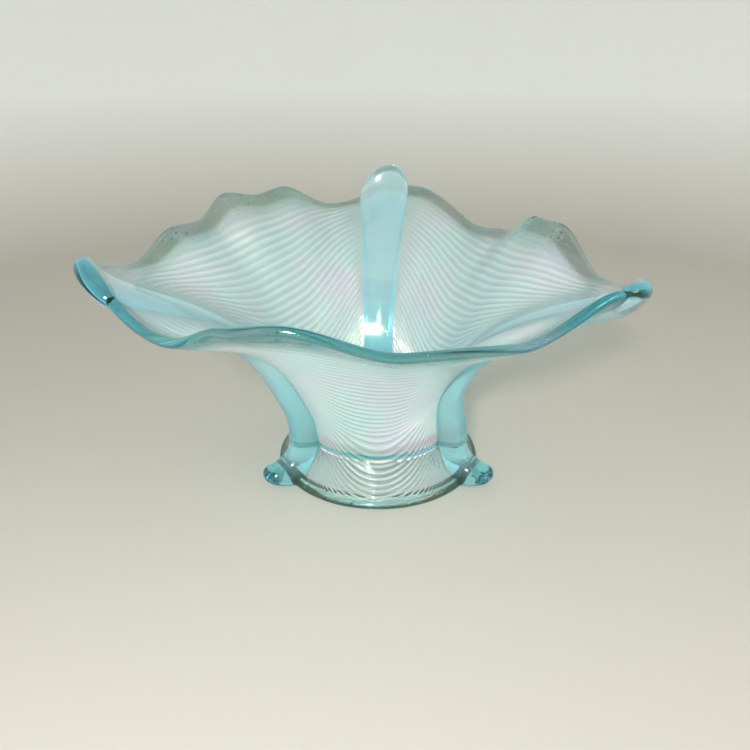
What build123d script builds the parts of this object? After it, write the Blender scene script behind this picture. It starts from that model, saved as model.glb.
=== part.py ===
from build123d import *
import math
import os

# Three-cornered carnival glass bowl on a collar foot with three claw feet.
# Millimetres, +Z up. The origin is the centre of the foot ring on the resting plane.
# Azimuths are in degrees from +X, anticlockwise seen from above; the front is -Y.

# ---- driving dimensions ----
RING_DIAMETER = 74.0  # foot ring, outside
RING_WIDTH = 4.2  # foot ring, across its section
RING_HEIGHT = 2.8  # foot ring, thickness of the rounded band
RING_FLAT_INSET = 1.0  # how far the flats above and below lie inside the ring's widest line
RING_WIDEST = 0.45  # height of that line, as a share of the ring's
RING_INNER_WIDEST = 0.35  # and of the widest line on its inner side
RING_INNER_BULGE = 0.1
WAIST_DIAMETER = 56.4  # outside, where the collar meets the body
WAIST_HEIGHT = 14.0
WELL_DIAMETER = 49.0  # inside, at the floor of the bowl
FLOOR_TOP = 18.0
FLOOR_COVE = 2.0  # the floor's middle lies this far below its edge
FLOOR_COVE_RUN = 8.0  # the floor starts to rise this far inside the wall
FLOOR_DROP = 1.0  # how far the underside of the floor drops towards its middle

# Collar between waist and ring: control points of its curves, radius and height.
COLLAR_OUTSIDE = ((29.4, 8.6), (32.6, 4.6))
COLLAR_INSIDE = ((25.4, 9.4), (29.0, 5.4))

SIDE_REACH = 66.0  # rim radius at the middle of a panel
CORNER_REACH = 85.0  # rim radius at a corner
CORNER_SHARPNESS = 1.6  # higher is more pointed
LEAN = 4.0  # how far the hand-pulled top sits towards -X of the foot

WALL = 3.6  # wall thickness at the waist
RIM_WALL = 3.0  # wall thickness at the rim
RIM_SHARE = 0.88  # share of the profile below the rim band

RIB_HALF_WIDTH = 3.2  # at the axis
RIB_SPREAD = 0.086  # growth of the half width for each mm of radius
RIB_LIFT_LOW = 6.2  # how far a rib stands out from the wall at its foot
RIB_LIFT_TOP = 3.1  # and at its corner
RIB_TAPER = 1.6  # how quickly it changes from one to the other
RIB_FLARE = 7.0  # how far a rib stands out at the waist, over its foot
BAR_CROWN = 2.5  # a higher number flattens the crown of a rib
BAR_SIDE = 0.8  # a lower number steepens its sides

FOOT_GAP = 0.4  # claw feet hang this far above the resting plane
CORNER_RIBS = {"right": -30.0, "back": 90.0, "left": 210.0}  # azimuth at the well
RIB_TURN = {"right": 0.0, "back": -1.9, "left": 0.0}  # turn of a rib by the panels' reach
RIB_CAPS = {"right": 1.5, "back": 7.9, "left": 1.5}  # rise of the rim over the end of a rib
CAP_HALF_TURN = 7.1  # half the angle that a cap spans
CAP_GROWTH = 8.0  # a cap grows out of the wall as this power of the share of the profile
PANELS = {"front": ("left", "right"), "back_right": ("right", "back"), "back_left": ("back", "left")}

# Crests and troughs of the hand-crimped rim: azimuth, height.
RIM_TURNS = (
    (12, 84.0), (25, 83.5), (40, 75.5), (52, 73.8), (79, 84.3), (103, 77.2), (122, 87.5), (132, 86.5),
    (145, 89.3), (158, 82.3), (169, 83.0), (184, 76.5), (208, 85.0), (229, 72.5), (238, 76.3),
    (248, 77.3), (276, 70.0), (300, 70.5), (320, 81.0), (332, 78.0), (353, 72.0),
)
BASE_SPAN = 24  # the wall below the crimps follows the rim's mean height over this many degrees each way
CRIMP_GROWTH = 3.0  # a crimp grows out of it as this power of the share of the profile

# Wall profile from the well to the rim, as the control points of a curve that runs from (0, 0) to
# (1, 1): share of the way out, share of the way up. A panel sweeps out evenly, and a corner
# climbs, then runs out nearly level and curls up at its tip.
PANEL_CURVE = ((0.0, 0.0), (0.04, 0.22), (0.20, 0.48), (0.45, 0.75), (0.72, 0.86), (1.0, 1.0))
CORNER_CURVE = ((0.0, 0.0), (-0.02, 0.28), (0.18, 0.74), (0.62, 0.90), (0.93, 0.905), (1.0, 1.0))
LEAN_FROM_SHARE = 0.22  # the lean is complete above this share of the profile

SECTION_STEP = 5.0  # largest angle between the sections of a panel
PROFILE_STEPS = 14  # points along a wall profile
SLOPE_STEP = 0.004  # share of the profile over which its slope is measured
CUT_ROUNDS = 30  # steps that settle a point in its cutting plane
RIB_CUTS = (-1.0, -0.9, -0.65, -0.33, 0.0, 0.33, 0.65, 0.9, 1.0)  # sections across a rib, in half widths

# Claw foot, as level ovals: height, centre radius, half length along the rib, half width.
FOOT_OVALS = (
    (WAIST_HEIGHT, 30.6, 4.5, 6.2), (10.5, 32.6, 5.8, 6.3), (7.5, 35.2, 7.8, 6.3),
    (4.8, 37.6, 7.8, 6.2), (2.2, 38.2, 7.2, 5.8), (FOOT_GAP, 38.4, 5.2, 4.2),
)

WELL_RADIUS = WELL_DIAMETER / 2
WAIST_RADIUS = WAIST_DIAMETER / 2
RING_RADIUS = RING_DIAMETER / 2


def smooth(share):
    """Ease from 0 to 1 with level ends."""
    share = min(max(share, 0.0), 1.0)
    return share * share * (3.0 - 2.0 * share)


def rim_height(azimuth):
    """Height of the rim, eased between its crests and troughs."""
    azimuth = azimuth % 360.0
    last_azimuth, last_height = RIM_TURNS[-1]
    last_azimuth -= 360.0
    for next_azimuth, next_height in RIM_TURNS + ((RIM_TURNS[0][0] + 360.0, RIM_TURNS[0][1]),):
        if azimuth <= next_azimuth:
            share = smooth((azimuth - last_azimuth) / (next_azimuth - last_azimuth))
            return last_height + (next_height - last_height) * share
        last_azimuth, last_height = next_azimuth, next_height


def base_height(azimuth):
    """Height that the wall below the crimps makes for."""
    steps = range(-BASE_SPAN, BASE_SPAN + 1, BASE_SPAN // 3)
    return sum(rim_height(azimuth + step) for step in steps) / len(steps)


def bar(across):
    """Cross section of a rib: 1 in the middle, 0 at both sides."""
    return (1.0 - min(abs(across), 1.0) ** BAR_CROWN) ** BAR_SIDE


def cap_height(azimuth):
    """Rise of the rim over the rounded end of a rib."""
    rise = 0.0
    for name, middle in CORNER_RIBS.items():
        off = (azimuth - middle - RIB_TURN[name] + 180.0) % 360.0 - 180.0
        rise += RIB_CAPS[name] * bar(off / CAP_HALF_TURN)
    return rise


def corner_share(azimuth):
    """1 at a corner, 0 halfway between two corners."""
    wave = (1.0 + math.cos(math.radians(3.0 * (azimuth - CORNER_RIBS["back"])))) / 2.0
    return wave**CORNER_SHARPNESS


def curve_point(points, share):
    """Point on a Bezier curve."""
    while len(points) > 1:
        points = [
            (a[0] + (b[0] - a[0]) * share, a[1] + (b[1] - a[1]) * share) for a, b in zip(points, points[1:])
        ]
    return points[0]


def inner_point(azimuth, share):
    """Radius and height of the inside of the wall, from the well (0) to the rim (1)."""
    corner = corner_share(azimuth)
    controls = [
        (a[0] + (b[0] - a[0]) * corner, a[1] + (b[1] - a[1]) * corner)
        for a, b in zip(PANEL_CURVE, CORNER_CURVE)
    ]
    out, up = curve_point(controls, share)
    reach = SIDE_REACH + (CORNER_REACH - SIDE_REACH) * corner
    lean = LEAN * math.cos(math.radians(azimuth - 180.0)) * smooth(share / LEAN_FROM_SHARE)
    radius = WELL_RADIUS + (reach - WELL_RADIUS) * out + lean
    base = base_height(azimuth)
    crimp = (rim_height(azimuth) - base) * share**CRIMP_GROWTH
    height = FLOOR_TOP + (base - FLOOR_TOP) * up + crimp + cap_height(azimuth) * share**CAP_GROWTH
    return radius, height


def outward(azimuth, share):
    """Unit direction out of the wall, in the plane of its profile."""
    low = inner_point(azimuth, max(share - SLOPE_STEP, 0.0))
    high = inner_point(azimuth, min(share + SLOPE_STEP, 1.0))
    along = (high[0] - low[0], high[1] - low[1])
    length = math.hypot(*along)
    return along[1] / length, -along[0] / length


def rib_lift(share, across):
    """How far a rib stands out of the wall; across is -1 to 1 over its width."""
    lift = RIB_LIFT_TOP + (RIB_LIFT_LOW - RIB_LIFT_TOP) * (1.0 - smooth(share * RIB_TAPER))
    return lift * bar(across)


def wall_point(azimuth, share, depth, across=1.0):
    """Radius and height in the wall: depth 0 is its inside, 1 its outside, with any rib."""
    radius, height = inner_point(azimuth, share)
    out, up = outward(azimuth, share)
    thickness = WALL + (RIM_WALL - WALL) * share + rib_lift(share, across)
    return radius + out * thickness * depth, height + up * thickness * depth


def rib_cut(rib, across):
    """Vertical plane along a rib, a number of its half widths off its middle."""
    places = []
    for reach in (WELL_RADIUS, SIDE_REACH):
        side = across * (RIB_HALF_WIDTH + RIB_SPREAD * reach)
        places.append(math.degrees(math.atan2(side, reach)))
    middle = CORNER_RIBS[rib]
    return middle + places[0], middle + RIB_TURN[rib] + places[1], across


def panel_cuts(first, second):
    """Planes from the side of one rib round to the side of the next, turning evenly between them."""
    start_in, start_out, _ = rib_cut(first, 1.0)
    end_in, end_out, _ = rib_cut(second, -1.0)
    span_in = (end_in - start_in) % 360.0
    span_out = (end_out - start_out) % 360.0
    count = math.ceil(span_out / SECTION_STEP)
    return [
        (start_in + span_in * i / count, start_out + span_out * i / count, 1.0) for i in range(count + 1)
    ]


def on_cut(cut, point):
    """Place a (radius, height) point that depends on azimuth in a vertical cutting plane.

    A cut is its azimuth at the well's radius, its azimuth at the panels' reach, and its place
    across a rib.
    """
    near, far = math.radians(cut[0]), math.radians(cut[1])
    start = (WELL_RADIUS * math.cos(near), WELL_RADIUS * math.sin(near))
    end = (SIDE_REACH * math.cos(far), SIDE_REACH * math.sin(far))
    facing = math.atan2(start[0] - end[0], end[1] - start[1])
    offset = start[0] * math.cos(facing) + start[1] * math.sin(facing)
    angle = near
    for _ in range(CUT_ROUNDS):
        radius, height = point(math.degrees(angle))
        angle = facing + math.acos(offset / radius)
    return Vector(radius * math.cos(angle), radius * math.sin(angle), height)


def wall_section(cut, start, end):
    """Face across the wall, between two shares of the profile, with a rounded edge at the rim."""
    across = cut[2]
    shares = [start + (end - start) * i / PROFILE_STEPS for i in range(PROFILE_STEPS + 1)]
    inside = [on_cut(cut, lambda a, s=s: wall_point(a, s, 0.0)) for s in shares]
    outside = [on_cut(cut, lambda a, s=s: wall_point(a, s, 1.0, across)) for s in shares]
    edges = []
    if start == 0.0:
        flare = RIB_FLARE * bar(across)
        outside[0] = on_cut(cut, lambda a: (WAIST_RADIUS + flare, WAIST_HEIGHT))
        inside_low = on_cut(cut, lambda a: (WELL_RADIUS, WAIST_HEIGHT))
        edges.append(Line(inside[0], inside_low))
        edges.append(Line(inside_low, outside[0]))
    else:
        edges.append(Line(inside[0], outside[0]))
    edges.append(Spline(outside))
    if end == 1.0:
        along = (inside[-1] - inside[-2]).normalized()
        crown = (inside[-1] + outside[-1]) * 0.5 + along * ((inside[-1] - outside[-1]).length * 0.5)
        edges.append(ThreePointArc(outside[-1], crown, inside[-1]))
    else:
        edges.append(Line(outside[-1], inside[-1]))
    edges.append(Spline(inside))
    return make_face(edges)


def wall_piece(cuts, start, end):
    """Solid lofted through the sections of the wall at a row of cuts."""
    return loft([wall_section(cut, start, end) for cut in cuts])


def revolved(edges):
    """Solid of revolution about the bowl's axis from a closed outline in XZ."""
    return revolve(make_face(edges), axis=Axis.Z)


def in_profile(radius, height):
    """A point in XZ, in the half plane that is revolved."""
    return Vector(radius, 0, height)


def collar_outside():
    """The collar's flared outside, from the waist down to the ring."""
    waist = in_profile(WAIST_RADIUS, WAIST_HEIGHT)
    ring = in_profile(RING_RADIUS - RING_FLAT_INSET, RING_HEIGHT)
    return Bezier(waist, *[in_profile(*point) for point in COLLAR_OUTSIDE], ring)


def ring_outside():
    """The outside of the ring, from the collar down to its flat underside."""
    top = in_profile(RING_RADIUS - RING_FLAT_INSET, RING_HEIGHT)
    widest = in_profile(RING_RADIUS, RING_HEIGHT * RING_WIDEST)
    return ThreePointArc(top, widest, in_profile(RING_RADIUS - RING_FLAT_INSET, 0))


def collar_skirt():
    """Flared collar, hollow below the floor of the bowl."""
    outside = collar_outside()
    well = in_profile(WELL_RADIUS, WAIST_HEIGHT)
    ring_inner = in_profile(RING_RADIUS - RING_WIDTH, RING_HEIGHT)
    inside = Bezier(well, *[in_profile(*point) for point in COLLAR_INSIDE], ring_inner)
    return revolved([outside, Line(outside @ 1, ring_inner), inside, Line(well, outside @ 0)])


def foot_ring():
    """Rounded ring that carries the bowl, flat underneath."""
    inner = RING_RADIUS - RING_WIDTH
    bulge = ring_outside()
    low_in = in_profile(inner + RING_FLAT_INSET, 0)
    top_in = in_profile(inner, RING_HEIGHT)
    widest = in_profile(inner + RING_INNER_BULGE, RING_HEIGHT * RING_INNER_WIDEST)
    bead = ThreePointArc(low_in, widest, top_in)
    return revolved([bulge, Line(bulge @ 1, low_in), bead, Line(top_in, bulge @ 0)])


def well_floor():
    """Round floor, with a coved edge that runs up into the walls."""
    level = FLOOR_TOP - FLOOR_COVE
    centre_top = in_profile(0, level)
    cove_start = in_profile(WELL_RADIUS - FLOOR_COVE_RUN, level)
    cove_end = in_profile(WELL_RADIUS, FLOOR_TOP)
    edge_under = in_profile(WELL_RADIUS, WAIST_HEIGHT)
    centre_under = in_profile(0, WAIST_HEIGHT - FLOOR_DROP)
    edges = [
        Line(centre_top, cove_start),
        Bezier(cove_start, in_profile(WELL_RADIUS - FLOOR_COVE, level), cove_end),
        Line(cove_end, edge_under),
        Line(edge_under, centre_under),
        Line(centre_under, centre_top),
    ]
    return revolved(edges)


def collar_core():
    """Everything inside the collar's and the ring's outside, to trim the feet with."""
    outside = collar_outside()
    bulge = ring_outside()
    axis_low, axis_top = in_profile(0, 0), in_profile(0, WAIST_HEIGHT)
    return revolved([outside, bulge, Line(bulge @ 1, axis_low), Line(axis_low, axis_top),
                     Line(axis_top, outside @ 0)])


def claw_foot(azimuth):
    """Splayed toe below a rib, trimmed to the outside of the collar and the ring."""
    sections = []
    for height, centre, half_length, half_width in FOOT_OVALS:
        level = Plane(origin=(centre, 0, height), x_dir=(1, 0, 0), z_dir=(0, 0, 1))
        sections.append(level * Ellipse(half_length, half_width))
    toe = loft(sections) - collar_core()
    return toe.rotate(Axis.Z, azimuth)


def build():
    """Every node of the bowl, by name."""
    nodes = {"foot_ring": foot_ring(), "collar_skirt": collar_skirt(), "well_floor": well_floor()}
    for name, azimuth in CORNER_RIBS.items():
        nodes["claw_foot_" + name] = claw_foot(azimuth)
        cuts = [rib_cut(name, across) for across in RIB_CUTS]
        nodes["corner_rib_" + name] = wall_piece(cuts, 0.0, 1.0)
    for name, (first, second) in PANELS.items():
        cuts = panel_cuts(first, second)
        nodes["drapery_panel_" + name] = wall_piece(cuts, 0.0, RIM_SHARE)
        nodes["rim_" + name] = wall_piece(cuts, RIM_SHARE, 1.0)
    return nodes


def main():
    os.makedirs("parts", exist_ok=True)
    for name, solid in build().items():
        export_step(solid, "parts/" + name + ".step")


main()
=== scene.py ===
import math

import bpy
import numpy as np
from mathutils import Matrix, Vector


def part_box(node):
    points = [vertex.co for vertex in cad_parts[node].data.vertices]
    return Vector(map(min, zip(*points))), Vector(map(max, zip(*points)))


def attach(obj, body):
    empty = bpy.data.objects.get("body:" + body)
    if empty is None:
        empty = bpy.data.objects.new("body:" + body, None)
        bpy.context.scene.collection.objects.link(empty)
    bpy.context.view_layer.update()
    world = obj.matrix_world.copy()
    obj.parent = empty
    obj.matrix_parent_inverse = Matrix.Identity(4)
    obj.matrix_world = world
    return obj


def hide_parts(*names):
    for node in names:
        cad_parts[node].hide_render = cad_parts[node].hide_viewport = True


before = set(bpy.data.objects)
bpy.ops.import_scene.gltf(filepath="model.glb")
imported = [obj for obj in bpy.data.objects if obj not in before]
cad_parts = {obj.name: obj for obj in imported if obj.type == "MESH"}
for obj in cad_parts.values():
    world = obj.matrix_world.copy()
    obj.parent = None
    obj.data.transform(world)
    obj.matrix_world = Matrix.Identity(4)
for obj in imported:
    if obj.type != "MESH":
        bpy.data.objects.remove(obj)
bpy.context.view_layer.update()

# Looks of the three-cornered carnival glass bowl. Shapes are worked out in millimetres and
# azimuths in degrees from +X, anticlockwise from above, as the part has them; meshes are in metres.
MM = 0.001

# ---- sizes read from the frame, in millimetres ----
RING_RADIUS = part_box("foot_ring")[1].x / MM
RING_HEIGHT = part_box("foot_ring")[1].z / MM
WAIST_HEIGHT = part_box("collar_skirt")[1].z / MM
WELL_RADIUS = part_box("well_floor")[1].x / MM
FLOOR_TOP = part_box("well_floor")[1].z / MM

# ---- shape of the wall, as in the part ----
WAIST_RADIUS = 28.2
SIDE_REACH = 66.0  # rim radius at the middle of a panel
CORNER_REACH = 85.0  # rim radius at a corner
CORNER_SHARPNESS = 1.6
LEAN = 4.0
LEAN_FROM_SHARE = 0.22
WALL = 3.6
RIM_WALL = 3.0
RIM_SHARE = 0.88  # share of the profile below the rim band
RIB_HALF_WIDTH = 3.2
RIB_SPREAD = 0.086
RIB_LIFT_LOW = 6.2
RIB_LIFT_TOP = 3.1
RIB_TAPER = 1.6
RIB_FLARE = 7.0
BAR_CROWN = 2.5
BAR_SIDE = 0.8
WAIST_SHARE = 0.14  # the outside leaves the wall's even thickness below this share
RING_WIDTH = 4.2
RING_TOP_INSET, RING_LOW_INSET = 1.0, 1.1  # of the ring's flats, inside its radius
RING_BULGE_TOP = (0.25, 0.5)  # control point of its outside: beyond its radius, below its top
RING_BULGE_LOW = (0.35, 0.1)  # and beyond its radius, above the floor
RING_INNER_BULGE = (0.1, 0.1)
COLLAR_OUTSIDE = ((29.4, 8.6), (32.6, 4.6))  # control points: radius, height
COLLAR_INSIDE = ((25.4, 9.4), (29.0, 5.4))
COLLAR_LENGTH = 14.5
FLOOR_LEVEL = 16.0
FLOOR_DROP = 1.0  # of the middle of its underside
COVE_FROM = 0.68  # share of the floor's radius
RING_JOIN_SHARE = 0.62  # how far down the ring's outside a toe joins it
TOE_SPLIT = 0.45  # share of a toe's rows that lie over the collar
TOE_SKIN = 0.02
CORNER_RIBS = {"right": -30.0, "back": 90.0, "left": 210.0}  # azimuth at the well
RIB_TURN = {"right": 0.0, "back": -1.9, "left": 0.0}  # turn of a rib by the panels' reach
RIB_CAPS = {"right": 1.5, "back": 7.9, "left": 1.5}  # rise of the rim over the end of a rib
CAP_HALF_TURN = 7.1
CAP_GROWTH = 8.0
BASE_SPAN = 24
CRIMP_GROWTH = 3.0
PANELS = {"front": ("left", "right"), "back_right": ("right", "back"), "back_left": ("back", "left")}
RIM_TURNS = (
    (12, 84.0), (25, 83.5), (40, 75.5), (52, 73.8), (79, 84.3), (103, 77.2), (122, 87.5), (132, 86.5),
    (145, 89.3), (158, 82.3), (169, 83.0), (184, 76.5), (208, 85.0), (229, 72.5), (238, 76.3),
    (248, 77.3), (276, 70.0), (300, 70.5), (320, 81.0), (332, 78.0), (353, 72.0),
)
PANEL_CURVE = ((0.0, 0.0), (0.04, 0.22), (0.20, 0.48), (0.45, 0.75), (0.72, 0.86), (1.0, 1.0))
CORNER_CURVE = ((0.0, 0.0), (-0.02, 0.28), (0.18, 0.74), (0.62, 0.90), (0.93, 0.905), (1.0, 1.0))

# ---- drapery lines ----
RIDGE_OUT = 0.62  # height of a line on the outside
RIDGE_IN = 0.55  # and on the inside
LINES_CROSS_CRIMPS = 0.85  # 1 where the lines run on level through the crimps, 0 where they follow them
PITCH_AT_WAIST = 2.1
PITCH_GROWTH = 0.0155  # added pitch for each mm up the wall, from the stretch of the flare
PITCH_LEAST = 0.4
HANG = ((-20.0, 30.0), (0.0, 20.0), (30.0, 12.0), (85.0, 4.5))  # mm up the wall, sag of a line
LINE_ROUNDING = 1.3  # higher makes the lines broader and the grooves between them narrower
SIDE_MARGIN = (0.10, 0.26)  # plain share of a panel beside a rib, at the well and at the rim
LINES_END = 0.93  # share of the wall's length where the lines have died out
LINES_FADE = 9.0  # length over which they do
INNER_LINES_FULL = 0.125  # share of the profile where the inside's lines reach their full height
COLLAR_FADE = (0.12, 0.25)  # shares of the collar over which they grow and die out
COLLAR_RELIEF = (0.8, 0.6)  # direction in which they stand out of it

# ---- mesh density ----
PANEL_COLUMNS = 190
RIB_COLUMNS = 44
WALL_ROWS = 230
RIM_ROWS = 26
EDGE_ROWS = 12
SKIRT_ROWS = 48
FOOT_ROWS = 56
RING_OUTER_ROWS, RING_INNER_ROWS = 20, 14
FLOOR_COLUMNS = 360
FLOOR_ROWS, COVE_ROWS, UNDER_ROWS = 24, 18, 30
FLOOR_LEVEL_TO = 0.66  # share of the floor's radius where its level rows end
FLOOR_HUB = 0.04  # share of the floor's radius that a fan of triangles closes
PROFILE_SAMPLES = 200
SLOPE_STEP = 0.004  # share of the profile over which its slope is measured
FAN_ROUNDS = 3  # steps that settle a column's azimuth
SEAM_GAP = 0.004  # clear space between two pieces of the moulding, in mm
SEAM_SHARE = 3e-5  # and as a share of a panel's span or of the profile
RIB_SEAM_SHARE = 2e-4  # and of a rib's half width

# ---- where the glass has its satin finish, 0 to 1 ----
POLISH_FROM, POLISH_FADE = 0.90, 0.05  # shares of the profile: the rim was fire polished
RIB_INNER_SATIN = 0.4  # share of the satin finish on the inside of the ribs
TIP_SATIN = 0.65  # on the tips of the ribs
SKIRT_SATIN = 0.55  # on the crests of the collar's lines
FLOOR_SATIN = 0.6
FOOT_SATIN = 0.8  # where a rib meets its foot
RIB_SATIN_FADE, FOOT_SATIN_FADE = 0.25, 0.5  # shares of a rib and of a foot over which it changes
PLAIN_CREST = 0.5  # shade of the surfaces without lines


def smooth(share):
    """Ease from 0 to 1 with level ends."""
    share = np.clip(share, 0.0, 1.0)
    return share * share * (3.0 - 2.0 * share)


def lerp(first, second, share):
    return first + (second - first) * share


def bezier(points, share):
    """Both coordinates along a Bezier curve, at an array of shares."""
    order = len(points) - 1
    weights = [math.comb(order, i) * share**i * (1.0 - share) ** (order - i) for i in range(order + 1)]
    return tuple(sum(w * p[axis] for w, p in zip(weights, points)) for axis in (0, 1))


# ---------------------------------------------------------------- shape of the moulding


def rim_height(azimuth):
    """Height of the rim, eased between its crests and troughs."""
    turns = np.array([(RIM_TURNS[-1][0] - 360.0, RIM_TURNS[-1][1]), *RIM_TURNS,
                      (RIM_TURNS[0][0] + 360.0, RIM_TURNS[0][1])])
    azimuth = np.mod(azimuth, 360.0)
    after = np.searchsorted(turns[:, 0], azimuth).clip(1, len(turns) - 1)
    start, end = turns[after - 1], turns[after]
    share = smooth((azimuth - start[..., 0]) / (end[..., 0] - start[..., 0]))
    return lerp(start[..., 1], end[..., 1], share)


def base_height(azimuth):
    """Height that the wall below the crimps makes for."""
    steps = range(-BASE_SPAN, BASE_SPAN + 1, BASE_SPAN // 3)
    return sum(rim_height(azimuth + step) for step in steps) / len(steps)


def bar(across):
    """Cross section of a rib or a toe: full in the middle, nothing at both sides."""
    return (1.0 - np.minimum(np.abs(across), 1.0) ** BAR_CROWN) ** BAR_SIDE


def cap_height(azimuth):
    """Rise of the rim over the rounded end of a rib."""
    rise = 0.0
    for name, middle in CORNER_RIBS.items():
        off = np.mod(azimuth - middle - RIB_TURN[name] + 180.0, 360.0) - 180.0
        rise = rise + RIB_CAPS[name] * bar(off / CAP_HALF_TURN)
    return rise


def inner_profile(azimuth, share):
    """Radius and height of the inside of the wall, from the well (0) to the rim (1)."""
    wave = (1.0 + np.cos(np.radians(3.0 * (azimuth - CORNER_RIBS["back"])))) / 2.0
    corner = wave**CORNER_SHARPNESS
    panel_out, panel_up = bezier(PANEL_CURVE, share)
    corner_out, corner_up = bezier(CORNER_CURVE, share)
    reach = lerp(SIDE_REACH, CORNER_REACH, corner)
    lean = LEAN * np.cos(np.radians(azimuth - 180.0)) * smooth(share / LEAN_FROM_SHARE)
    radius = WELL_RADIUS + (reach - WELL_RADIUS) * lerp(panel_out, corner_out, corner) + lean
    base = base_height(azimuth)
    crimp = (rim_height(azimuth) - base) * share**CRIMP_GROWTH
    height = FLOOR_TOP + (base - FLOOR_TOP) * lerp(panel_up, corner_up, corner) + crimp
    height = height + cap_height(azimuth) * share**CAP_GROWTH
    return radius, height


def outward(azimuth, share):
    """Unit direction out of the wall, in the plane of its profile."""
    low = inner_profile(azimuth, np.maximum(share - SLOPE_STEP, 0.0))
    high = inner_profile(azimuth, np.minimum(share + SLOPE_STEP, 1.0))
    along = (high[0] - low[0], high[1] - low[1])
    length = np.hypot(*along)
    return along[1] / length, -along[0] / length


def rib_lift(share, across):
    """How far a rib stands out of the wall; across is -1 to 1 over its width."""
    lift = lerp(RIB_LIFT_LOW, RIB_LIFT_TOP, smooth(share * RIB_TAPER))
    return lerp(RIB_FLARE, lift, smooth(share / WAIST_SHARE)) * bar(across)


def profile_length():
    """Shares of a typical panel's profile and the lengths up the wall that they stand for."""
    shares = np.linspace(0.0, 1.0, PROFILE_SAMPLES)
    front = 270.0
    radius, height = inner_profile(np.full(PROFILE_SAMPLES, front), shares)
    steps = np.hypot(np.diff(radius), np.diff(height))
    return shares, np.concatenate(([0.0], np.cumsum(steps)))


LENGTH_SHARES, LENGTHS = profile_length()


def drapery(side, length):
    """Height of the drapery lines, 0 to 1, by place across a panel (-1 to 1) and mm up the wall."""
    hang = np.interp(length, [h[0] for h in HANG], [h[1] for h in HANG])
    line = length - hang * side**2
    pitch = np.maximum(PITCH_AT_WAIST + PITCH_GROWTH * line, PITCH_LEAST)
    phase = np.log(pitch / PITCH_AT_WAIST) / PITCH_GROWTH
    ridge = 1.0 - np.abs(np.sin(math.pi * phase)) ** LINE_ROUNDING
    margin = np.interp(length, [0.0, LENGTHS[-1]], SIDE_MARGIN)
    sides = smooth((1.0 - np.abs(side)) / margin)
    top = smooth((LENGTHS[-1] * LINES_END - length) / LINES_FADE)
    return ridge * sides * top


# ---------------------------------------------------------------- columns round the bowl


def rib_place(rib, across):
    """Azimuths, at the well and at the panels' reach, of a plane along a rib, off its middle."""
    places = []
    for reach in (WELL_RADIUS, SIDE_REACH):
        side = across * (RIB_HALF_WIDTH + RIB_SPREAD * reach)
        places.append(CORNER_RIBS[rib] + np.degrees(np.arctan2(side, reach)))
    places[1] = places[1] + RIB_TURN[rib]
    return places


def rib_columns(rib, count=RIB_COLUMNS):
    """Columns across a rib: near and far azimuths, and places across it."""
    across = np.linspace(-1.0 + RIB_SEAM_SHARE, 1.0 - RIB_SEAM_SHARE, count + 1)
    near, far = rib_place(rib, across)
    return near, far, across


def panel_columns(panel, count=PANEL_COLUMNS):
    """Columns across a panel: near and far azimuths, and places across it."""
    first, second = PANELS[panel]
    share = np.linspace(SEAM_SHARE, 1.0 - SEAM_SHARE, count + 1)
    start, end = rib_place(first, 1.0), rib_place(second, -1.0)
    spans = [(b - a) % 360.0 for a, b in zip(start, end)]
    return start[0] + spans[0] * share, start[1] + spans[1] * share, 2.0 * share - 1.0


def fan(near, far, radius):
    """Azimuth at a radius of a column that runs straight between its near and far azimuths."""
    return lerp(near, far, (1.0 - WELL_RADIUS / radius) / (1.0 - WELL_RADIUS / SIDE_REACH))


def column_azimuth(near, far, share):
    """Azimuth of each column at each share of the wall's profile."""
    azimuth = near + 0.0 * share
    for _ in range(FAN_ROUNDS):
        azimuth = fan(near, far, inner_profile(azimuth, share)[0])
    return azimuth


def place(radius, azimuth, height):
    """Points in space from cylindrical places."""
    angle = np.radians(azimuth)
    radius, angle, height = np.broadcast_arrays(radius, angle, height)
    return np.stack([radius * np.cos(angle), radius * np.sin(angle), height], -1)


def wall_sheets(columns, shares, is_rib):
    """Inside and outside of the wall, and its drapery lines, on a grid of shares by columns."""
    near, far, across = (c[None, :] for c in columns)
    share = shares[:, None]
    azimuth = column_azimuth(near, far, share)
    radius, height = inner_profile(azimuth, share)
    out, up = outward(azimuth, share)
    length = np.interp(share, LENGTH_SHARES, LENGTHS)
    if is_rib:
        lines = PLAIN_CREST
        inner_relief = np.zeros_like(radius)
        lift = rib_lift(share, across)
    else:
        crimp = (rim_height(azimuth) - base_height(azimuth)) * share**CRIMP_GROWTH
        lines = drapery(across + 0.0 * share, length + LINES_CROSS_CRIMPS * crimp)
        inner_relief = RIDGE_IN * lines * smooth(share / INNER_LINES_FULL)
        lift = RIDGE_OUT * lines
    thickness = lerp(WALL, RIM_WALL, share) + lift
    inside = place(radius - out * inner_relief, azimuth, height - up * inner_relief)
    low = 1.0 - smooth(share / WAIST_SHARE)
    outer_radius = radius + out * thickness + (WAIST_RADIUS - WELL_RADIUS - WALL) * low
    outer_height = height + up * thickness - (FLOOR_TOP - WAIST_HEIGHT - SEAM_GAP) * low
    outside = place(outer_radius, azimuth, outer_height)
    return inside, outside, np.broadcast_to(lines, radius.shape)


# ---------------------------------------------------------------- meshes


def sheet_normals(grid):
    """Normals of a smooth grid of points, level with what the surface does beyond its edges."""
    across = np.gradient(grid, axis=1, edge_order=2)
    along = np.gradient(grid, axis=0, edge_order=2)
    normal = np.cross(across, along)
    return normal / np.maximum(np.linalg.norm(normal, axis=-1, keepdims=True), 1e-12)


def ring_normals(grid):
    """Normals of a grid whose columns close on themselves."""
    wrapped = np.concatenate([grid[:, -3:], grid, grid[:, :3]], axis=1)
    return sheet_normals(wrapped)[:, 3:-3]


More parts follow.
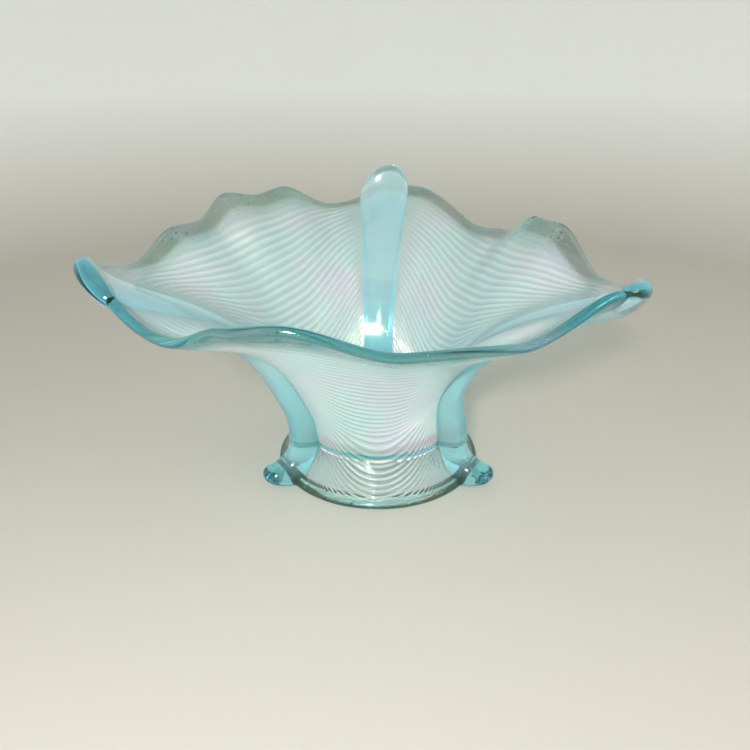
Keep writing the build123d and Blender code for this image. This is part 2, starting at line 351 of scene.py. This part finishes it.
class Shell:
    """Points, faces and shading normals of one closed piece."""

    def __init__(self):
        self.points, self.normals, self.satin, self.crest = [], [], [], []
        self.faces, self.smooth_faces = [], []
        self.count = 0

    def rows(self, grid, normals, satin, crest=PLAIN_CREST):
        """Adds a grid of points; gives back their numbers."""
        numbers = np.arange(self.count, self.count + grid.shape[0] * grid.shape[1])
        self.count += len(numbers)
        self.points.append(grid.reshape(-1, 3))
        self.normals.append(normals.reshape(-1, 3))
        self.satin.append(np.broadcast_to(satin, grid.shape[:2]).reshape(-1))
        self.crest.append(np.broadcast_to(crest, grid.shape[:2]).reshape(-1))
        return numbers.reshape(grid.shape[:2])

    def strip(self, numbers, outer, closed=False):
        """Adds the faces of a grid of point numbers; outer is True for those that can be seen."""
        if closed:
            numbers = np.concatenate([numbers, numbers[:, :1]], axis=1)
        quads = np.stack([numbers[:-1, :-1], numbers[:-1, 1:], numbers[1:, 1:], numbers[1:, :-1]], -1)
        self.faces.append(quads.reshape(-1, 4))
        self.smooth_faces.append(np.broadcast_to(outer, quads.shape[:2]).reshape(-1))

    def fan(self, row, height, satin=0.0):
        """Closes a level ring of points with a fan of triangles about the axis."""
        point = np.array([[[0.0, 0.0, height]]])
        up = np.array([[[0.0, 0.0, 1.0]]])
        centre = self.rows(point, up, satin)[0, 0]
        after = np.roll(row, -1)
        fans = np.stack([row, after, np.full_like(row, centre), np.full_like(row, -1)], -1)
        self.faces.append(fans)
        self.smooth_faces.append(np.ones(len(fans), bool))

    def triangle(self, corners):
        """Adds one hidden triangle."""
        self.faces.append(np.array([[*corners, -1]]))
        self.smooth_faces.append(np.zeros(1, bool))

    def build(self, name, material):
        """Makes the object, with its outside smooth and its hidden joints flat."""
        points = np.concatenate(self.points) * MM
        normals = np.concatenate(self.normals)
        faces = np.concatenate(self.faces)
        outer = np.concatenate(self.smooth_faces)
        a, b, c = (points[faces[:, i]] for i in range(3))
        d = np.where((faces[:, 3] < 0)[:, None], a, points[faces[:, 3]])
        volume = (np.einsum("ij,ij->i", a, np.cross(b, c)) + np.einsum("ij,ij->i", a, np.cross(c, d))).sum()
        if volume < 0:
            quads = faces[:, 3] >= 0
            faces[quads] = faces[quads][:, ::-1]
            faces[~quads] = faces[~quads][:, [2, 1, 0, 3]]
        sizes = np.where(faces[:, 3] < 0, 3, 4)
        corners = faces[faces >= 0]
        starts = np.concatenate(([0], np.cumsum(sizes)[:-1]))
        mesh = bpy.data.meshes.new(name)
        mesh.vertices.add(len(points))
        mesh.vertices.foreach_set("co", points.ravel().astype(np.float32))
        mesh.loops.add(len(corners))
        mesh.loops.foreach_set("vertex_index", corners.astype(np.int32))
        mesh.polygons.add(len(faces))
        mesh.polygons.foreach_set("loop_start", starts.astype(np.int32))
        mesh.update(calc_edges=True)
        mesh.validate(clean_customdata=False)
        mesh.polygons.foreach_set("use_smooth", outer)
        flat = np.zeros(len(faces) * 3, np.float32)
        mesh.polygons.foreach_get("normal", flat)
        flat = flat.reshape(-1, 3)
        owner = np.repeat(np.arange(len(faces)), sizes)
        loop_normals = normals[corners]
        facing = np.einsum("ij,ij->i", loop_normals, flat[owner])
        loop_normals = np.where((facing < 0)[:, None], -loop_normals, loop_normals)
        loop_normals = np.where(outer[owner][:, None], loop_normals, flat[owner])
        mesh.normals_split_custom_set(loop_normals.tolist())
        hidden = mesh.attributes.new("seam", "FLOAT", "FACE")
        hidden.data.foreach_set("value", (~outer).astype(np.float32))
        for attribute, values in (("satin", self.satin), ("crest", self.crest)):
            channel = mesh.attributes.new(attribute, "FLOAT", "POINT")
            channel.data.foreach_set("value", np.concatenate(values).astype(np.float32))
        mesh.materials.append(material)
        piece = bpy.data.objects.new(name, mesh)
        bpy.context.scene.collection.objects.link(piece)
        return piece


def satin_by_share(share):
    """The iridised satin finish ends where the rim was fire polished."""
    return 1.0 - smooth((share - POLISH_FROM) / POLISH_FADE)


def wall_piece(columns, start, end, is_rib):
    """Closed piece of the wall between two shares of the profile."""
    rows = RIM_ROWS if start > 0.0 else (WALL_ROWS + RIM_ROWS if end == 1.0 else WALL_ROWS)
    low_end = start + SEAM_SHARE if start > 0.0 else 0.0
    high_end = end - SEAM_SHARE if end < 1.0 else 1.0
    shares = np.linspace(low_end, high_end, rows + 1)
    inside, outside, crest = wall_sheets(columns, shares, is_rib)
    satin = satin_by_share(shares)[:, None]
    if is_rib:
        low = lerp(FOOT_SATIN, 1.0, smooth(shares / RIB_SATIN_FADE))
        satin = np.maximum(satin, TIP_SATIN) * low[:, None]
    inner_satin = satin * RIB_INNER_SATIN if is_rib else satin
    shell = Shell()
    if end == 1.0:
        middle = (inside[-1] + outside[-1]) / 2.0
        half = inside[-1] - middle
        along = inside[-1] - inside[-2]
        along = along / np.linalg.norm(along, axis=-1, keepdims=True)
        reach = np.linalg.norm(half, axis=-1, keepdims=True)
        turn = np.radians(np.linspace(0.0, 180.0, EDGE_ROWS + 1))[1:-1]
        edge = np.stack([middle + half * math.cos(t) + along * reach * math.sin(t) for t in turn])
        whole = np.concatenate([inside, edge, outside[::-1]])
        whole_satin = np.concatenate([inner_satin, np.zeros((len(edge), 1)), satin[::-1]])
        whole_crest = np.concatenate([crest, np.full(edge.shape[:2], PLAIN_CREST), crest[::-1]])
        numbers = shell.rows(whole, sheet_normals(whole), whole_satin, whole_crest)
        shell.strip(numbers, True)
        inner_rows, outer_rows = numbers[: rows + 1], numbers[-rows - 1:][::-1]
        edge_rows = numbers[rows + 1: -rows - 1]
        rim = [inner_rows[-1], *edge_rows, outer_rows[-1]]
        for column in (0, -1):
            for i in range(1, len(rim) - 1):
                shell.triangle((rim[0][column], rim[i][column], rim[i + 1][column])[:: 1 if column else -1])
    else:
        inner_rows = shell.rows(inside, sheet_normals(inside), inner_satin, crest)
        outer_rows = shell.rows(outside, sheet_normals(outside), satin, crest)
        shell.strip(inner_rows, True)
        shell.strip(outer_rows[::-1], True)
        shell.strip(np.stack([inner_rows[-1], outer_rows[-1]]), False)
    if start > 0.0:
        shell.strip(np.stack([outer_rows[0], inner_rows[0]]), False)
    else:
        low = inside[:1].copy()
        low[..., 2] = WAIST_HEIGHT + SEAM_GAP
        low_row = shell.rows(low, np.zeros_like(low), 1.0)[0]
        shell.strip(np.stack([low_row, inner_rows[0]]), False)
        shell.strip(np.stack([outer_rows[0], low_row]), False)
        for column in (0, -1):
            corners = (inner_rows[0][column], low_row[column], outer_rows[0][column])
            shell.triangle(corners[:: -1 if column else 1])
    for column in (0, -1):
        sides = np.stack([inner_rows[:, column], outer_rows[:, column]], axis=1)
        shell.strip(sides[:: 1 if column else -1], False)
    return shell


# ---------------------------------------------------------------- collar, ring, floor and feet


def all_columns():
    """Every column round the bowl: near and far azimuths, place across its panel or rib, which."""
    parts = []
    for panel, (first, _) in PANELS.items():
        for columns, is_rib in ((rib_columns(first), True), (panel_columns(panel), False)):
            parts.append([*columns, np.full(len(columns[0]), is_rib)])
    return [np.concatenate(values) for values in zip(*parts)]


def collar_outside(share):
    """Radius and height down the collar, and round the outside of the ring."""
    waist, ring = (WAIST_RADIUS, WAIST_HEIGHT - SEAM_GAP), (RING_RADIUS - RING_TOP_INSET, RING_HEIGHT)
    return bezier((waist, *COLLAR_OUTSIDE, ring), share)


def ring_outside(share):
    """Radius and height round the outside of the ring, from the collar to its flat underside."""
    top = (RING_RADIUS - RING_TOP_INSET, RING_HEIGHT - SEAM_GAP)
    bulge_top = (RING_RADIUS + RING_BULGE_TOP[0], RING_HEIGHT - RING_BULGE_TOP[1])
    bulge_low = (RING_RADIUS + RING_BULGE_LOW[0], RING_BULGE_LOW[1])
    low = (RING_RADIUS - RING_LOW_INSET, 0.0)
    return bezier((top, bulge_top, bulge_low, low), share)


def collar_piece(columns):
    """Flared collar, with the drapery lines on its outside and a plain hollow inside."""
    near, far, across, is_rib = columns
    shell = Shell()
    share = np.linspace(0.0, 1.0, SKIRT_ROWS + 1)[:, None]
    radius, height = collar_outside(share)
    lines = drapery(across[None, :] + 0.0 * share, -COLLAR_LENGTH * share + 0.0 * across[None, :])
    fade = smooth(share / COLLAR_FADE[0]) * smooth((1.0 - share) / COLLAR_FADE[1])
    relief = np.where(is_rib[None, :], 0.0, RIDGE_OUT * lines * fade)
    azimuth = fan(near[None, :], far[None, :], radius)
    outside = place(radius + COLLAR_RELIEF[0] * relief, azimuth, height + COLLAR_RELIEF[1] * relief)
    inner_top, inner_end = (WELL_RADIUS, WAIST_HEIGHT - SEAM_GAP), (RING_RADIUS - RING_WIDTH, RING_HEIGHT)
    radius, height = bezier((inner_top, *COLLAR_INSIDE, inner_end), share)
    inside = place(radius, fan(near[None, :], far[None, :], radius), height)
    crest = np.where(is_rib[None, :], PLAIN_CREST, lines * fade)
    outer_rows = shell.rows(outside, ring_normals(outside), SKIRT_SATIN * crest, crest)
    inner_rows = shell.rows(inside, ring_normals(inside), 0.0)
    seen = np.broadcast_to(~(is_rib & np.roll(is_rib, -1)), (SKIRT_ROWS, len(near)))
    shell.strip(outer_rows, seen, closed=True)
    shell.strip(inner_rows[::-1], True, closed=True)
    shell.strip(np.stack([outer_rows[-1], inner_rows[-1]]), False, closed=True)
    shell.strip(np.stack([inner_rows[0], outer_rows[0]]), False, closed=True)
    return shell


def ring_piece(columns):
    """Rounded ring, flat underneath."""
    near, far, _, is_rib = columns
    shell = Shell()
    share = np.linspace(0.0, 1.0, RING_OUTER_ROWS + 1)[:, None]
    radius, height = ring_outside(share)
    outside = place(radius, fan(near[None, :], far[None, :], radius), height)
    share = np.linspace(0.0, 1.0, RING_INNER_ROWS + 1)[:, None]
    inner = RING_RADIUS - RING_WIDTH
    bulge = (inner - RING_INNER_BULGE[0], RING_INNER_BULGE[1])
    radius, height = bezier(((inner + RING_LOW_INSET, 0.0), bulge, (inner, RING_HEIGHT - SEAM_GAP)), share)
    inside = place(radius, fan(near[None, :], far[None, :], radius), height)
    outer_rows = shell.rows(outside, ring_normals(outside), 0.0)
    inner_rows = shell.rows(inside, ring_normals(inside), 0.0)
    joined = (np.arange(RING_OUTER_ROWS) < RING_JOIN_SHARE * RING_OUTER_ROWS)[:, None]
    seen = ~(joined & (is_rib & np.roll(is_rib, -1))[None, :])
    shell.strip(outer_rows, seen, closed=True)
    shell.strip(np.stack([outer_rows[-1], inner_rows[0]]), True, closed=True)
    shell.strip(inner_rows, True, closed=True)
    shell.strip(np.stack([inner_rows[-1], outer_rows[0]]), False, closed=True)
    return shell


def floor_piece():
    """Round floor: level in the middle, coved up to the wall, with a shallow rise underneath."""
    shell = Shell()
    azimuth = np.linspace(0.0, 360.0, FLOOR_COLUMNS + 1)[:-1][None, :]
    edge = WELL_RADIUS - SEAM_GAP
    level = np.linspace(FLOOR_HUB, FLOOR_LEVEL_TO, FLOOR_ROWS)[:, None] * edge
    cove = ((COVE_FROM * edge, FLOOR_LEVEL), (edge, FLOOR_LEVEL), (edge, FLOOR_TOP))
    cove_r, cove_z = bezier(cove, np.linspace(0, 1, COVE_ROWS)[:, None])
    heights = np.concatenate([0.0 * level + FLOOR_LEVEL, cove_z])
    top = place(np.concatenate([level, cove_r]), azimuth, heights)
    radius = np.linspace(1.0, FLOOR_HUB, UNDER_ROWS)[:, None] * edge
    low = WAIST_HEIGHT - SEAM_GAP - FLOOR_DROP
    under = place(radius, azimuth, low + FLOOR_DROP * (radius / edge) ** 2)
    top_rows = shell.rows(top, ring_normals(top), FLOOR_SATIN)
    under_rows = shell.rows(under, ring_normals(under), 0.0)
    shell.strip(top_rows, True, closed=True)
    shell.strip(np.stack([top_rows[-1], under_rows[0]]), False, closed=True)
    shell.strip(under_rows, True, closed=True)
    shell.fan(top_rows[0][::-1], FLOOR_LEVEL, FLOOR_SATIN)
    shell.fan(under_rows[-1], low)
    return shell


# Control points along a toe's crown, radius and height: over the collar, then round its tip.
TOE_TOP = ((WAIST_RADIUS + RIB_FLARE, WAIST_HEIGHT - SEAM_GAP), (35.6, 10.6), (39.0, 7.6), (43.6, 6.9))
TOE_TIP = (
    (43.6, 6.9), (47.4, 6.6), (47.4, 0.5), (43.4, 0.45), (40.5, 0.4), (38.6, 0.5), (37.0, 1.0),
)


def foot_piece(rib):
    """Splayed toe: the rib's end swept out over the collar and back under to the ring."""
    near, far, across = (c[None, :] for c in rib_columns(rib))
    shell = Shell()
    share = np.linspace(0.0, 1.0, FOOT_ROWS + 1)[:, None]
    collar_share = np.clip(share / TOE_SPLIT, 0, 1)
    ring_share = np.clip((share - TOE_SPLIT) / (1 - TOE_SPLIT), 0, 1)
    on_collar = collar_outside(collar_share)
    on_ring = ring_outside(ring_share * RING_JOIN_SHARE)
    core = [np.where(share <= TOE_SPLIT, c, r) for c, r in zip(on_collar, on_ring)]
    top, tip = bezier(TOE_TOP, collar_share), bezier(TOE_TIP, ring_share)
    toe = [np.where(share <= TOE_SPLIT, a, b) for a, b in zip(top, tip)]
    shape = bar(across)
    radius = core[0] + TOE_SKIN + (toe[0] - core[0] - TOE_SKIN) * shape
    height = core[1] + (toe[1] - core[1]) * shape
    outside = place(radius, fan(near, far, np.maximum(radius, WAIST_RADIUS)), height)
    inner_radius = core[0] + SEAM_GAP + 0.0 * across
    inside = place(inner_radius, fan(near, far, inner_radius), core[1] + 0.0 * across)
    satin = FOOT_SATIN * (1.0 - smooth(share / FOOT_SATIN_FADE))
    outer_rows = shell.rows(outside, sheet_normals(outside), satin)
    inner_rows = shell.rows(inside, np.zeros_like(inside), 0.0)
    shell.strip(outer_rows, True)
    shell.strip(inner_rows[::-1], False)
    shell.strip(np.stack([outer_rows[-1], inner_rows[-1]]), False)
    shell.strip(np.stack([inner_rows[0], outer_rows[0]]), False)
    for column in (0, -1):
        sides = np.stack([inner_rows[:, column], outer_rows[:, column]], axis=1)
        shell.strip(sides[:: -1 if column else 1], False)
    return shell


# ---------------------------------------------------------------- materials

MINT, LILAC = (0.84, 0.95, 0.91, 1.0), (0.95, 0.90, 0.96, 1.0)
SKY, PALE_SKY = (0.76, 0.93, 0.98, 1.0), (0.88, 0.96, 0.98, 1.0)
WHITE, DEEP_TEAL = (1.0, 1.0, 1.0, 1.0), (0.22, 0.62, 0.68, 1.0)
TROUGH_SHADE = (0.66, 0.74, 0.735, 1.0)  # shade between the drapery lines
LOW_SKY = (0.52, 0.92, 0.98, 1.0)  # tint of the low end of the ribs, where they are thick
# What each colour of glass lets through its depth.
AQUA, TEAL, BLUE = (0.0, 0.66, 0.75, 1.0), (0.12, 0.67, 0.67, 1.0), (0.0, 0.73, 0.84, 1.0)
LAMP_LIGHT = (0.70, 0.745, 0.75, 1.0)  # what each surface lets through of a lamp's direct light
# The wall's paper is painted lighter than the floor's. That step is painted light, not a change in the
# paper; the floor's warmer hue is its own colour.
PAPER_FLOOR, PAPER_WALL = (0.52, 0.50, 0.44, 1.0), (0.84, 0.86, 0.84, 1.0)
PAPER_SPOT = (0.62, 0.61, 0.56, 1.0)

GLASS_IOR, FILM_IOR = 1.5, 1.7
CLOUD_SCALE, GRAIN_SCALE, WAVE_SCALE, DIMPLE_SCALE = 34.0, 900.0, 700.0, 480.0  # in each metre
BLUSH_REACH = (-0.6, 1.6)  # stretches the clouds, so that both tints show
POLISH = (0.02, 0.07)  # roughness of polished glass
WAVE_SHARE = 0.2  # height of the waves against the dimples
DIMPLE_SIZE = 0.26
BUMP_DEPTH = 0.0002
CREST_POWER = 0.8
TINT_TOP = 0.065  # height where the low tint has gone
WAIST_LINE_UP = 1.4  # mm from the waist to the deep line
WAIST_LINE_CORE, WAIST_LINE_EDGE = 0.0006, 0.0014  # half its width where full, and where gone

# Density of the depth's colour, milky share and roughness of the satin finish, strength of the
# dimples and waves, and the iridescent film's least and greatest thickness in nanometres.
GLASSES = {
    "iridised_wall_glass": dict(
        low_tint=WHITE, absorb=AQUA, density=30.0, tints=(MINT, LILAC), milk=0.38, rough=0.18, bump=0.15,
        film=(250.0, 620.0)),
    "sky_blue_rib_glass": dict(
        low_tint=LOW_SKY, absorb=BLUE, density=44.0, tints=(SKY, PALE_SKY), milk=0.46, rough=0.12, bump=0.15,
        film=(320.0, 520.0)),
    "teal_edge_glass": dict(
        low_tint=WHITE, absorb=TEAL, density=92.0, tints=(MINT, LILAC), milk=0.35, rough=0.15, bump=1.0,
        film=(250.0, 620.0)),
    "deep_aqua_foot_glass": dict(
        low_tint=LOW_SKY, absorb=BLUE, density=22.0, tints=(SKY, PALE_SKY), milk=0.5, rough=0.10, bump=0.9,
        film=None),
    "clear_collar_glass": dict(
        low_tint=WHITE, absorb=AQUA, density=30.0, tints=(MINT, LILAC), milk=0.5, rough=0.15, bump=0.15,
        film=None),
}


class Nodes:
    """Short way to build one material's node tree."""

    def __init__(self, name):
        self.material = bpy.data.materials.new(name)
        self.material.use_nodes = True
        self.tree = self.material.node_tree
        self.tree.nodes.clear()

    def add(self, kind, inputs=None, **settings):
        node = self.tree.nodes.new(kind)
        for key, value in settings.items():
            setattr(node, key, value)
        for key, value in (inputs or {}).items():
            if isinstance(value, bpy.types.NodeSocket):
                self.tree.links.new(value, node.inputs[key])
            else:
                node.inputs[key].default_value = value
        return node

    def maths(self, operation, *values):
        return self.add("ShaderNodeMath", dict(enumerate(values)), operation=operation).outputs[0]

    def mix(self, factor, first, second, blend="MIX"):
        inputs = {0: factor, 6: first, 7: second}
        return self.add("ShaderNodeMix", inputs, data_type="RGBA", blend_type=blend).outputs[2]

    def multiply(self, first, second):
        return self.mix(1.0, first, second, "MULTIPLY")

    def scale(self, value, low, high):
        """Maps 0 to 1 onto low to high."""
        return self.add("ShaderNodeMapRange", {0: value, 3: low, 4: high}).outputs[0]

    def where(self):
        return self.add("ShaderNodeTexCoord").outputs["Object"]

    def height(self):
        return self.add("ShaderNodeSeparateXYZ", {0: self.where()}).outputs[2]

    def ease(self, value, start, end, low=0.0, high=1.0):
        """Runs smoothly from low at start to high at end."""
        inputs = {0: value, 1: start, 2: end, 3: low, 4: high}
        return self.add("ShaderNodeMapRange", inputs, interpolation_type="SMOOTHSTEP").outputs[0]

    def attribute(self, name):
        return self.add("ShaderNodeAttribute", attribute_name=name).outputs["Fac"]

    def noise(self, scale, detail, roughness):
        inputs = {"Vector": self.where(), "Scale": scale, "Detail": detail, "Roughness": roughness}
        return self.add("ShaderNodeTexNoise", inputs).outputs["Fac"]


def waist_line(n):
    """Share of deep colour in a thin line round the waist, where the glass is thickest."""
    off = n.maths("ABSOLUTE", n.maths("SUBTRACT", n.height(), (WAIST_HEIGHT + WAIST_LINE_UP) * MM))
    return n.ease(off, WAIST_LINE_CORE, WAIST_LINE_EDGE, 1.0, 0.0)


def dimples(n):
    """Fine round dimples and bubbles: 1 in the middle of each, 0 between them."""
    cells = n.add("ShaderNodeTexVoronoi", {"Vector": n.where(), "Scale": DIMPLE_SCALE})
    return n.ease(cells.outputs["Distance"], 0.0, DIMPLE_SIZE, 1.0, 0.0)


def glass_colour(n, satin, clouds, tints, low_tint):
    """White where polished, tinted where satin, deeper at the waist, with painted shade between the lines.
    """
    blush = n.mix(n.scale(clouds, *BLUSH_REACH), *tints)
    colour = n.mix(satin, WHITE, blush)
    colour = n.multiply(colour, n.mix(n.ease(n.height(), WAIST_HEIGHT * MM, TINT_TOP), low_tint, WHITE))
    colour = n.mix(n.maths("MULTIPLY", waist_line(n), satin), colour, DEEP_TEAL)
    # Painted shade: the colour darkens in the grooves between the drapery lines, following the crest
    # attribute.
    return n.multiply(colour, n.mix(n.maths("POWER", n.attribute("crest"), CREST_POWER), TROUGH_SHADE, WHITE))


def glass(name, low_tint, absorb, density, tints, milk, rough, bump, film):
    """Pressed glass: clear where polished, milky and iridescent where it has the satin finish."""
    n = Nodes(name)
    satin = n.attribute("satin")
    clouds = n.noise(CLOUD_SCALE, 2.0, 0.5)
    grain = n.noise(GRAIN_SCALE, 3.0, 0.6)
    waves = n.noise(WAVE_SCALE, 2.0, 0.5)
    relief = n.maths("SUBTRACT", n.maths("MULTIPLY", waves, WAVE_SHARE), dimples(n))
    bumps = n.add("ShaderNodeBump", {"Height": relief, "Strength": bump, "Distance": BUMP_DEPTH})
    shader = n.add("ShaderNodeBsdfPrincipled", {
        "Base Color": glass_colour(n, satin, clouds, tints, low_tint),
        "Roughness": n.maths("ADD", n.maths("MULTIPLY", satin, rough), n.scale(grain, *POLISH)),
        "IOR": GLASS_IOR,
        "Transmission Weight": n.maths("SUBTRACT", 1.0, n.maths("MULTIPLY", satin, milk)),
        "Thin Film Thickness": n.scale(clouds, *film) if film else 0.0,
        "Thin Film IOR": FILM_IOR,
        "Normal": bumps.outputs[0],
    })
    lamps = n.add("ShaderNodeLightPath").outputs["Is Shadow Ray"]
    passing = n.add("ShaderNodeBsdfTransparent", {"Color": LAMP_LIGHT})
    lit = n.add("ShaderNodeMixShader", {0: lamps, 1: shader.outputs[0], 2: passing.outputs[0]})
    joint = n.add("ShaderNodeBsdfTransparent", {"Color": WHITE})
    surface = n.add("ShaderNodeMixShader", {0: n.attribute("seam"), 1: lit.outputs[0], 2: joint.outputs[0]})
    inside = n.add("ShaderNodeVolumeAbsorption", {"Color": absorb, "Density": density})
    out = n.add("ShaderNodeOutputMaterial", {"Surface": surface.outputs[0], "Volume": inside.outputs[0]})
    n.tree.nodes.active = out
    return n.material


MATERIALS = {name: glass(name, **values) for name, values in GLASSES.items()}


# ---------------------------------------------------------------- the bowl


def finish_piece(shell, node, slot):
    """Makes a piece that stands for one node of the part."""
    piece = shell.build(node + "_glass", MATERIALS[slot])
    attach(piece, "root")
    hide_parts(node)


def make_bowl():
    """Every piece of the moulding."""
    columns = all_columns()
    finish_piece(ring_piece(columns), "foot_ring", "teal_edge_glass")
    finish_piece(collar_piece(columns), "collar_skirt", "clear_collar_glass")
    finish_piece(floor_piece(), "well_floor", "clear_collar_glass")
    for rib in CORNER_RIBS:
        finish_piece(foot_piece(rib), "claw_foot_" + rib, "deep_aqua_foot_glass")
        finish_piece(wall_piece(rib_columns(rib), 0.0, 1.0, True), "corner_rib_" + rib, "sky_blue_rib_glass")
    for panel in PANELS:
        columns = panel_columns(panel)
        wall = wall_piece(columns, 0.0, RIM_SHARE, False)
        finish_piece(wall, "drapery_panel_" + panel, "iridised_wall_glass")
        finish_piece(wall_piece(columns, RIM_SHARE, 1.0, False), "rim_" + panel, "teal_edge_glass")


make_bowl()

# ---------------------------------------------------------------- floor, backdrop and light

CYC_FLOOR_RADIUS = 0.34
CYC_FLOOR_RINGS = (0.0001, 0.10, 0.22)
CYC_CURVE = 0.16
CYC_CURVE_STEPS = 24
CYC_HEIGHT = 0.75
CYC_TURNS = 128
CYC_TONE_RISE = 0.10  # height over which the floor's tone becomes the wall's
PAPER_ROUGHNESS = 0.85
MOTTLE_SCALE, MOTTLE_SHARE = 14.0, 0.08

WORLD_COLOUR, WORLD_STRENGTH = (1.0, 0.99, 0.97, 1.0), 0.24
BOWL_MIDDLE = (0.0, 0.0, 0.05)
LIGHTS = {  # square soft boxes aimed at the bowl: place, side, watts, colour
    "key_left": ((-0.066, -0.40, 0.255), 0.04, 2.0, (1.0, 0.99, 0.97)),
    "fill_right": ((0.42, -0.22, 0.26), 0.25, 0.65, (1.0, 1.0, 1.0)),
    "top_bank": ((0.0, 0.10, 0.80), 0.7, 0.75, (1.0, 1.0, 1.0)),
}


def paper():
    """Pale mottled paper, warmer on the floor than on the wall; its step from a darker floor to a lighter
    wall is painted light.
    """
    n = Nodes("paper_sweep")
    rise = n.add("ShaderNodeMapRange", {0: n.height(), 1: 0.0, 2: CYC_TONE_RISE}).outputs[0]
    mottling = n.scale(n.noise(MOTTLE_SCALE, 4.0, 0.6), 0.0, MOTTLE_SHARE)
    colour = n.mix(mottling, n.mix(rise, PAPER_FLOOR, PAPER_WALL), PAPER_SPOT)
    shader = n.add("ShaderNodeBsdfPrincipled", {"Base Color": colour, "Roughness": PAPER_ROUGHNESS})
    n.add("ShaderNodeOutputMaterial", {"Surface": shader.outputs[0]})
    return n.material


def make_backdrop():
    """Round studio sweep: a pale floor that curves up into a pale wall all the way round."""
    curve = [(CYC_FLOOR_RADIUS + CYC_CURVE * math.sin(a), CYC_CURVE * (1.0 - math.cos(a)))
             for a in np.radians(np.linspace(0.0, 90.0, CYC_CURVE_STEPS + 1))]
    floor = [(radius, 0.0) for radius in CYC_FLOOR_RINGS]
    profile = [*floor, *curve, (CYC_FLOOR_RADIUS + CYC_CURVE, CYC_HEIGHT)]
    points = [(r * math.cos(a), r * math.sin(a), z) for r, z in profile
              for a in np.linspace(0.0, 2.0 * math.pi, CYC_TURNS + 1)[:-1]]
    faces = []
    for i in range(len(profile) - 1):
        low, high = i * CYC_TURNS, (i + 1) * CYC_TURNS
        for j in range(CYC_TURNS):
            after = (j + 1) % CYC_TURNS
            faces.append((low + j, low + after, high + after, high + j))
    mesh = bpy.data.meshes.new("studio_sweep")
    mesh.from_pydata(points, [], faces)
    mesh.polygons.foreach_set("use_smooth", [True] * len(mesh.polygons))
    mesh.materials.append(paper())
    sweep = bpy.data.objects.new("studio_sweep", mesh)
    bpy.context.scene.collection.objects.link(sweep)


def area_light(name, location, side, power, colour):
    light = bpy.data.lights.new(name, "AREA")
    light.shape, light.size = "SQUARE", side
    light.energy, light.color = power, colour
    lamp = bpy.data.objects.new(name, light)
    lamp.location = location
    lamp.visible_camera = False
    lamp.rotation_euler = (Vector(BOWL_MIDDLE) - Vector(location)).to_track_quat("-Z", "Y").to_euler()
    bpy.context.scene.collection.objects.link(lamp)


def make_light():
    world = bpy.data.worlds.new("studio_air")
    world.use_nodes = True
    background = world.node_tree.nodes["Background"]
    background.inputs["Color"].default_value = WORLD_COLOUR
    background.inputs["Strength"].default_value = WORLD_STRENGTH
    bpy.context.scene.world = world
    for name, values in LIGHTS.items():
        area_light(name, *values)


CAMERA_BACK = 0.2283  # from the bowl's axis
CAMERA_UP = 0.1415
CAMERA_SIDE = -0.00114
CAMERA_DOWN = 25.5  # degrees
CAMERA_LENS, CAMERA_SENSOR = 33.6, 36.0  # mm


def make_camera():
    data = bpy.data.cameras.new("camera")
    data.lens, data.sensor_width = CAMERA_LENS, CAMERA_SENSOR
    data.clip_start, data.clip_end = 0.01, 10.0
    camera = bpy.data.objects.new("camera", data)
    camera.location = (CAMERA_SIDE, -CAMERA_BACK, CAMERA_UP)
    camera.rotation_euler = (math.radians(90.0 - CAMERA_DOWN), 0.0, 0.0)
    bpy.context.scene.collection.objects.link(camera)
    bpy.context.scene.camera = camera


make_backdrop()
make_light()
make_camera()

# Light crosses many glass surfaces, and the hidden joints between the pieces.
cycles = bpy.context.scene.cycles
cycles.transparent_max_bounces = 48
cycles.max_bounces = 24
cycles.transmission_bounces = 20
bpy.context.scene.view_settings.view_transform = "Standard"
